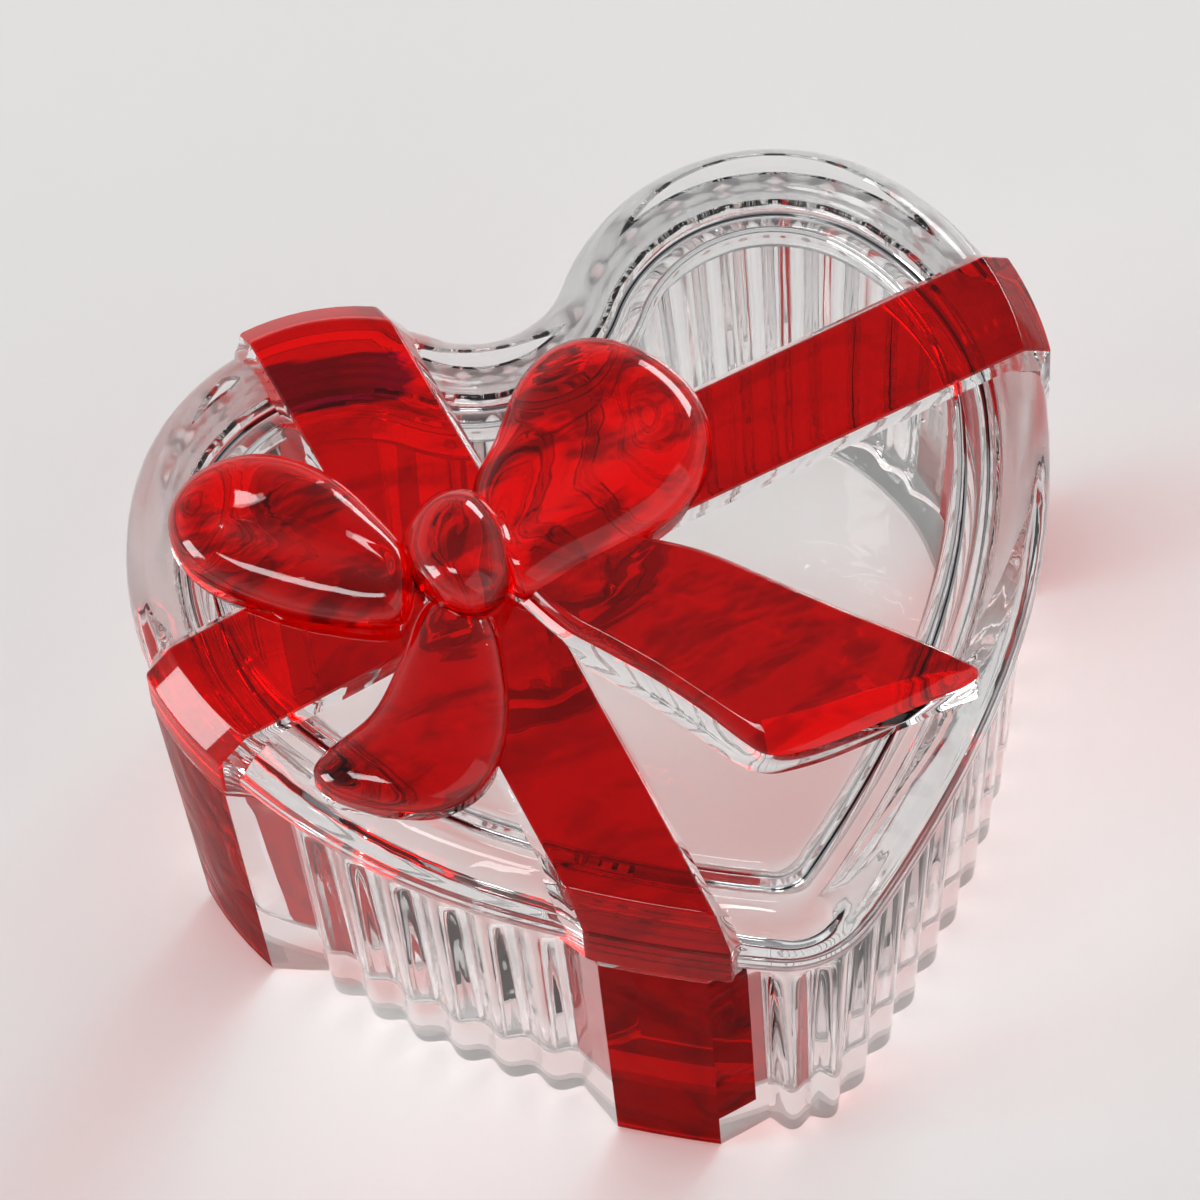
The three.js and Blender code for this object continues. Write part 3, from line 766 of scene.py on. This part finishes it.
def ribbon_mesh(angle_degrees, width, slot):
    """One arm: its cross-section carried from the knot along the top and down over the rim."""
    angle = math.radians(angle_degrees)
    along = Vector((math.cos(angle), math.sin(angle)))
    across = Vector((-along.y, along.x))
    sides = [(step - width / 2, sunk) for step, sunk in side_profile]
    first_on_face = sides[-1][0]
    for k in range(1, face_steps):
        sides.append((first_on_face - 2 * first_on_face * k / face_steps, 0))
    sides += [(-lateral, sunk) for lateral, sunk in reversed(sides[:len(side_profile)])]
    rings = []
    # Two rings on the plate, at mm from the knot's middle, two at each crease of the chamfer, and
    # one at the foot.
    path = [("flat", 4), ("flat", 8), ("top", 0), ("top", 1), ("side", 1), ("side", 0), ("low", 0)]
    for kind, value in path:
        outer, inner = [], []
        for lateral, sunk in sides:
            for store, down in ((outer, sunk), (inner, ribbon_root)):
                top = lid_top + ribbon_rise - down
                rim = ribbon_rise - down
                if kind == "flat":
                    s, z = value, top
                elif kind == "top":
                    offset = rim - ribbon_chamfer + chamfer_out * down
                    s = reach_to(lateral, angle, offset + (crease_out if value else -crease_in))
                    z = top - crease_drop if value else top
                elif kind == "side":
                    z = lid_top + ribbon_rise - ribbon_chamfer - chamfer_down * down
                    z += crease_in if value else -crease_in
                    s = reach_to(lateral, angle, rim - (crease_drop if value else 0))
                else:
                    s, z = reach_to(lateral, angle, rim), ribbon_foot
                point = knot_place + along * s + across * lateral
                store.append(Vector((point.x, point.y, z)))
        rings.append(outer + inner[::-1])
    rings = [list(reversed(ring)) for ring in rings]
    count = len(sides)

    def paint(i, k):
        step = 2 * count - 2 - k
        return slot if clear_steps <= step <= count - clear_steps - 2 else 0

    return loft(rings, paint)


relief = []
stains = {}
slot = 0
# Painted light and shade: the arms carry one stain, but the back and left arms are given lighter tones and
# the right and front arms darker ones, and each arm's clearness follows its tone.
arm_lit_and_shaded_tones = {"right": 0.4, "back": 0.88, "left": 0.7, "front": 0.35}
# Painted shade: a near-black patch on the back arm, by the rim.
arm_painted_shade_patches = {"back": ((-0.0255, 0.0424, 0.0756), -0.33, (0.0112, 0.0042, 0.01))}
for side, (angle, width) in arms.items():
    slot += 1
    relief.append(ribbon_mesh(angle, width, slot))
    tone = arm_lit_and_shaded_tones[side]
    finish = red_stain(
        "red stain on the %s ribbon" % side, streak_scale=32, streak_angle=0.5,
        depth=0.6 * tone, tone=tone, clearness=0.97 - 0.25 * tone, index=1.12, gloss=0.6,
        painted_shade_patch=arm_painted_shade_patches.get(side, no_painted_shade),
    )
    stains[slot] = ("lid_stain_" + side, "lid_ribbon_" + side, finish)

# Knot. A rounded button of the lid's own glass over the place where the arms meet, pressed in
# one with them, and stained red all over like the loops and tails round it.
bow_z = lid_top + 0.3
bow_root = lid_top - 2
hundredth = lid_width / 100


def curve_point(a, b, c, d, t):
    """Place at a share t of the way from b to c, on a smooth curve that comes from a and goes to d."""
    bend = (2 * a - 5 * b + 4 * c - d) * t ** 2
    return 0.5 * (2 * b + (c - a) * t + bend + (3 * b - 3 * c + d - a) * t ** 3)


def smooth_outline(points, steps):
    """Closed curve through points given in hundredths of the lid's width."""
    count = len(points)
    places = [Vector(p) * hundredth for p in points]
    curve = []
    for i in range(count):
        a, b, c, d = (places[(i + k) % count] for k in (-1, 0, 1, 2))
        curve += [curve_point(a, b, c, d, k / steps) for k in range(steps)]
    total = len(curve)
    return placed_at(curve, [k / total for k in range(total)])


def nearest_on(spine, point):
    """Nearest point on a chain of points."""
    best = None
    for a, b in zip(spine, spine[1:]):
        along = b - a
        share = max(0, min(1, (point - a).dot(along) / along.length_squared))
        place = a + along * share
        if best is None or (place - point).length < (best - point).length:
            best = place
    return best


def pillow(outline, spine, rise, slot):
    """Solid under rings of the outline that close in on a spine; rise gives the height at a share."""
    feet = [nearest_on(spine, p) for p in outline]
    smoothings, steps, crowding, closing = 40, 26, 1.7, 0.98
    for step in range(smoothings):
        feet = [(feet[i - 1] + feet[i] * 2 + feet[(i + 1) % len(feet)]) / 4 for i in range(len(feet))]
    rings = [at_height(outline, bow_root)]
    for k in range(steps + 1):
        share = 1 - (k / steps) ** crowding * closing
        ring = []
        for p, foot in zip(outline, feet):
            place = foot.lerp(p, share)
            ring.append(Vector((place.x, place.y, bow_z + rise(place, share))))
        rings.append(ring)
    mesh = loft(rings, lambda i, k: slot if i > 0 else 0)
    mesh.polygons[len(mesh.polygons) - 1].material_index = slot
    return mesh


def crown(share, height, edge):
    """Height of a rounded form, from a share of it at its edge to the whole of it inside."""
    return height * (edge + (1 - edge) * math.sqrt(max(0, 1 - share ** 2.3)))


knot_height = 9.46
knot_outline = smooth_outline([
    (-22.3, 4.6), (-19.6, 8.2), (-15.6, 9.4), (-12.2, 7.4), (-11.4, 2.4), (-12.9, -2.6), (-15.8, -5.0),
    (-19.3, -4.6), (-21.9, -0.9),
], steps=16)
knot_spine = [Vector((-18.5, 0.2)) * hundredth, Vector((-15.6, 4.4)) * hundredth]
knot_finish = red_stain(
    "red stain on the knot", streak_scale=48, streak_angle=0.4,
    depth=0.2, tone=0.6, clearness=0.92, index=1.33, gloss=0.6,
)
slot += 1
stains[slot] = ("bow_stain_knot", "bow_knot", knot_finish)
relief.append(pillow(
    knot_outline, knot_spine, lambda p, share: crown(share, knot_height, edge=0.42), slot,
))

# Loops. Two full teardrops of the same glass, narrow at the knot, each with a crest that runs
# round a faint hollow and with a dimple in the middle. Pressed with the lid and stained red.
loop_height, loop_hollow, loop_crest = 6.4, 0.5, 0.42
dimple_depth, dimple_radius = 0.5, 5.0
loops = {
    "right": (
        [(-13.0, 7.6), (-7.6, 13.6), (-2.2, 18.9), (3.2, 20.6), (8.0, 18.8), (11.7, 14.3), (13.5, 8.6),
         (12.6, 3.3), (8.8, -1.2), (2.9, -3.6), (-5.3, -4.3), (-13.3, -4.2)],
        [(-11, 2.6), (-3, 7.0), (5.0, 8.8)],
        (5.4, 10.2),
    ),
    "left": (
        [(-21.6, 3.8), (-22.9, 11.6), (-25.2, 17.2), (-28.6, 21.2), (-33.0, 23.3), (-38.1, 23.2),
         (-41.8, 20.7), (-43.2, 16.6), (-42.0, 12.0), (-38.6, 7.2), (-33.0, 2.0), (-25.6, -1.9)],
        [(-24.5, 4.2), (-31, 12), (-36.6, 16.2)],
        (-35.4, 16.0),
    ),
}
# Painted light: the loops carry the bow's one stain at a far lighter tone than the knot and tails (0.95
# against 0.6 and 0.36), to make up for the glass that darkens them.
loop_finish = red_stain(
    "red stain on the loops, painted lighter", streak_scale=48, streak_angle=0.4,
    depth=0.22, tone=0.95, clearness=0.84, index=1.33, gloss=0.5,
)
for side, (outline, spine, dimple) in loops.items():
    slot += 1
    stains[slot] = ("bow_stain_loop_" + side, "bow_loop_" + side, loop_finish)
    dimple_place = Vector(dimple) * hundredth

    def loop_rise(p, share):
        dimple_here = dimple_depth * math.exp(-((p - dimple_place).length / dimple_radius) ** 2)
        if share < loop_crest:
            return loop_height - loop_hollow * (1 - (share / loop_crest) ** 2) ** 2 - dimple_here
        return crown((share - loop_crest) / (1 - loop_crest), loop_height, edge=0.38) - dimple_here

    spine = [Vector(p) * hundredth for p in spine]
    relief.append(pillow(smooth_outline(outline, steps=14), spine, loop_rise, slot))

# Left tail. A plump curl of the same glass that hangs from the knot and turns up at its tip,
# rounded all over, pressed with the lid and stained red.
tail_left_height = 4.8
tail_left_outline = smooth_outline([
    (-22.7, -1.0), (-27.4, -5.6), (-32.4, -9.7), (-38.2, -11.5), (-40.5, -13.3), (-39.5, -16.6),
    (-35.5, -20.2), (-30.5, -22.7), (-25.4, -22.2), (-21.3, -18.6), (-18.3, -12.8), (-16.5, -5.0),
    (-18.5, 0),
], steps=14)
tail_left_spine = [
    Vector(p) * hundredth for p in ((-20.5, -3.5), (-23.6, -10.4), (-29, -15.8), (-35.4, -15.6))
]
tail_finish = red_stain(
    "red stain on the tails", streak_scale=48, streak_angle=0.4,
    depth=0.15, tone=0.36, clearness=0.94, index=1.33, gloss=0.5,
)
slot += 1
stains[slot] = ("bow_stain_tail_left", "bow_tail_left", tail_finish)
relief.append(pillow(
    tail_left_outline, tail_left_spine, lambda p, share: crown(share, tail_left_height, edge=0.4), slot,
))

# Right tail. A flat tail of the same glass, cut off aslant, with a bevel round its top: broad at
# the cut end, narrow along the two long edges. Top and bevel are stained red, the cut end's bevel
# painted a much lighter red, which is painted light, and below them a clear flank spreads to the
# plate. Pressed with the lid.
tail_top = 4.0

# Each point has its place on the edge, its place on the crease, and how far the flank spreads.
tail_points = [
    ((-13.0, -3.0), (-12.0, -2.2), 1.4),
    ((-10.6, -9.3), (-9.3, -8.6), 1.8),
    ((-8.0, -13.4), (-6.7, -12.6), 2.1),
    ((-4.7, -18.5), (-3.4, -17.8), 2.2),
    ((-1.7, -24.0), (-0.4, -23.3), 2.2),
    ((0.6, -29.0), (1.7, -26.9), 2.0),
    ((2.2, -31.6), (3.0, -28.3), 1.4),
    ((4.6, -32.7), (5.2, -28.8), 1.0),
    ((8.8, -33.3), (9.0, -29.5), 0.9),
    ((14.4, -33.5), (14.4, -30.1), 0.8),
    ((20.0, -33.6), (20.2, -31.0), 0.7),
    ((24.6, -33.5), (24.2, -32.2), 0.5),
    ((25.9, -32.9), (25.1, -32.4), 0.3),
    ((25.6, -31.6), (24.9, -31.6), 0.4),
    ((22.1, -26.9), (21.4, -27.2), 0.5),
    ((16.3, -20.0), (15.6, -20.4), 0.5),
    ((11.2, -13.6), (10.5, -14.1), 0.5),
    ((6.2, -7.6), (5.5, -8.2), 0.5),
    ((0, -2.4), (-0.6, -3.0), 0.5),
    ((-6, 2.8), (-6.6, 2.1), 0.5),
]
tail_steps = 8
cut_from, cut_to = 6, 12

# The bevel's profile: a share from the edge in to the crease, below 0 out over the flank, and
# the height there as a share of the whole.
tail_profile = (
    (-0.85, 0.08), (-0.6, 0.2), (-0.35, 0.34), (-0.15, 0.5), (0, 0.64),
    (0.1, 0.73), (0.4, 0.86), (0.8, 0.97), (1, 1.0),
)


def open_curve(points, steps):
    """Curve through a chain of points."""
    curve = []
    for i in range(len(points) - 1):
        a = points[max(i - 1, 0)]
        b, c = points[i], points[i + 1]
        d = points[min(i + 2, len(points) - 1)]
        curve += [curve_point(a, b, c, d, k / steps) for k in range(steps)]
    return curve + [points[-1]]


tail_edge = open_curve([Vector(edge) * hundredth for edge, _, _ in tail_points], tail_steps)
tail_crease = open_curve([Vector(crease) * hundredth for _, crease, _ in tail_points], tail_steps)
tail_flank = [p.x for p in open_curve([Vector((flank, 0)) for _, _, flank in tail_points], tail_steps)]


def tail_ring(share):
    """Ring from the edge in to the crease by a share, or out over the flank by a share below 0."""
    ring = []
    count = len(tail_edge)
    for i in range(count):
        if share >= 0:
            ring.append(tail_edge[i].lerp(tail_crease[i], share))
            continue
        run = (tail_edge[(i + 1) % count] - tail_edge[i - 1]).normalized()
        ring.append(tail_edge[i] + Vector((run.y, -run.x)) * tail_flank[i] * -share)
    return ring


tail_rings = [at_height(tail_ring(-1), bow_root), at_height(tail_ring(-1), lid_top)]
for share, rise in tail_profile:
    tail_rings.append(at_height(tail_ring(share), bow_z + tail_top * rise))
edge_ring = 2 + [share for share, _ in tail_profile].index(0)
# Painted light: the cut end's bevel gets the tails' stain in a far lighter tone.
bevel_painted_lighter_finish = red_stain(
    "red stain on the cut end's bevel, painted lighter", streak_scale=48, streak_angle=0.4,
    depth=0.5, tone=0.95, clearness=0.82, index=1.33, gloss=0.5,
)
slot += 2
top_slot, bevel_slot = slot - 1, slot
stains[top_slot] = ("bow_stain_tail_right", "bow_tail_right", tail_finish)
stains[bevel_slot] = ("bow_stain_bevel_painted_lighter", "bow_tail_right", bevel_painted_lighter_finish)


def tail_paint(i, k):
    """Clear flank, stained top and long edges, or the bevel of the cut end, painted a brighter red."""
    if i < edge_ring:
        return 0
    return bevel_slot if cut_from * tail_steps < k <= cut_to * tail_steps + 1 else top_slot


tail_mesh = loft(tail_rings, tail_paint)
tail_mesh.polygons[len(tail_mesh.polygons) - 1].material_index = top_slot
relief.append(tail_mesh)


# The lid and all that rises from it are one body of glass, pressed at once, so they are joined
# before the stained faces are parted from the clear ones.
def as_object(mesh, name):
    """A mesh held by an object of its own, for the joining."""
    holder = bpy.data.objects.new(name, mesh)
    scene.collection.objects.link(holder)
    return holder


slot_marks = [bpy.data.materials.new("slot%d" % index) for index in range(slot + 1)]
for mesh in [lid_mesh] + relief:
    for slot_mark in slot_marks:
        mesh.materials.append(slot_mark)

whole = as_object(lid_mesh, "lid_whole")
tools = [as_object(mesh, "relief_%d" % i) for i, mesh in enumerate(relief)]
for tool in tools:
    joined = whole.modifiers.new("join", "BOOLEAN")
    joined.operation = "UNION"
    joined.solver = "MANIFOLD"
    joined.object = tool
bpy.context.view_layer.update()
graph = bpy.context.evaluated_depsgraph_get()
whole_mesh = bpy.data.meshes.new_from_object(whole.evaluated_get(graph), depsgraph=graph)
for holder in [whole] + tools:
    bpy.data.objects.remove(holder)

whole_mesh = even_normals(whole_mesh)
lid_finish = clear_glass(
    "clear pressed glass", level_grain, waviness=0.14, roughness=0.0, clearness=1.0, painted_shade_level=1,
)
take_faces(whole_mesh, "lid_glass", 0, lid_finish, "lid", "lid_plate")
for index, (name, node, finish) in stains.items():
    take_faces(whole_mesh, name, index, finish, "lid", node)
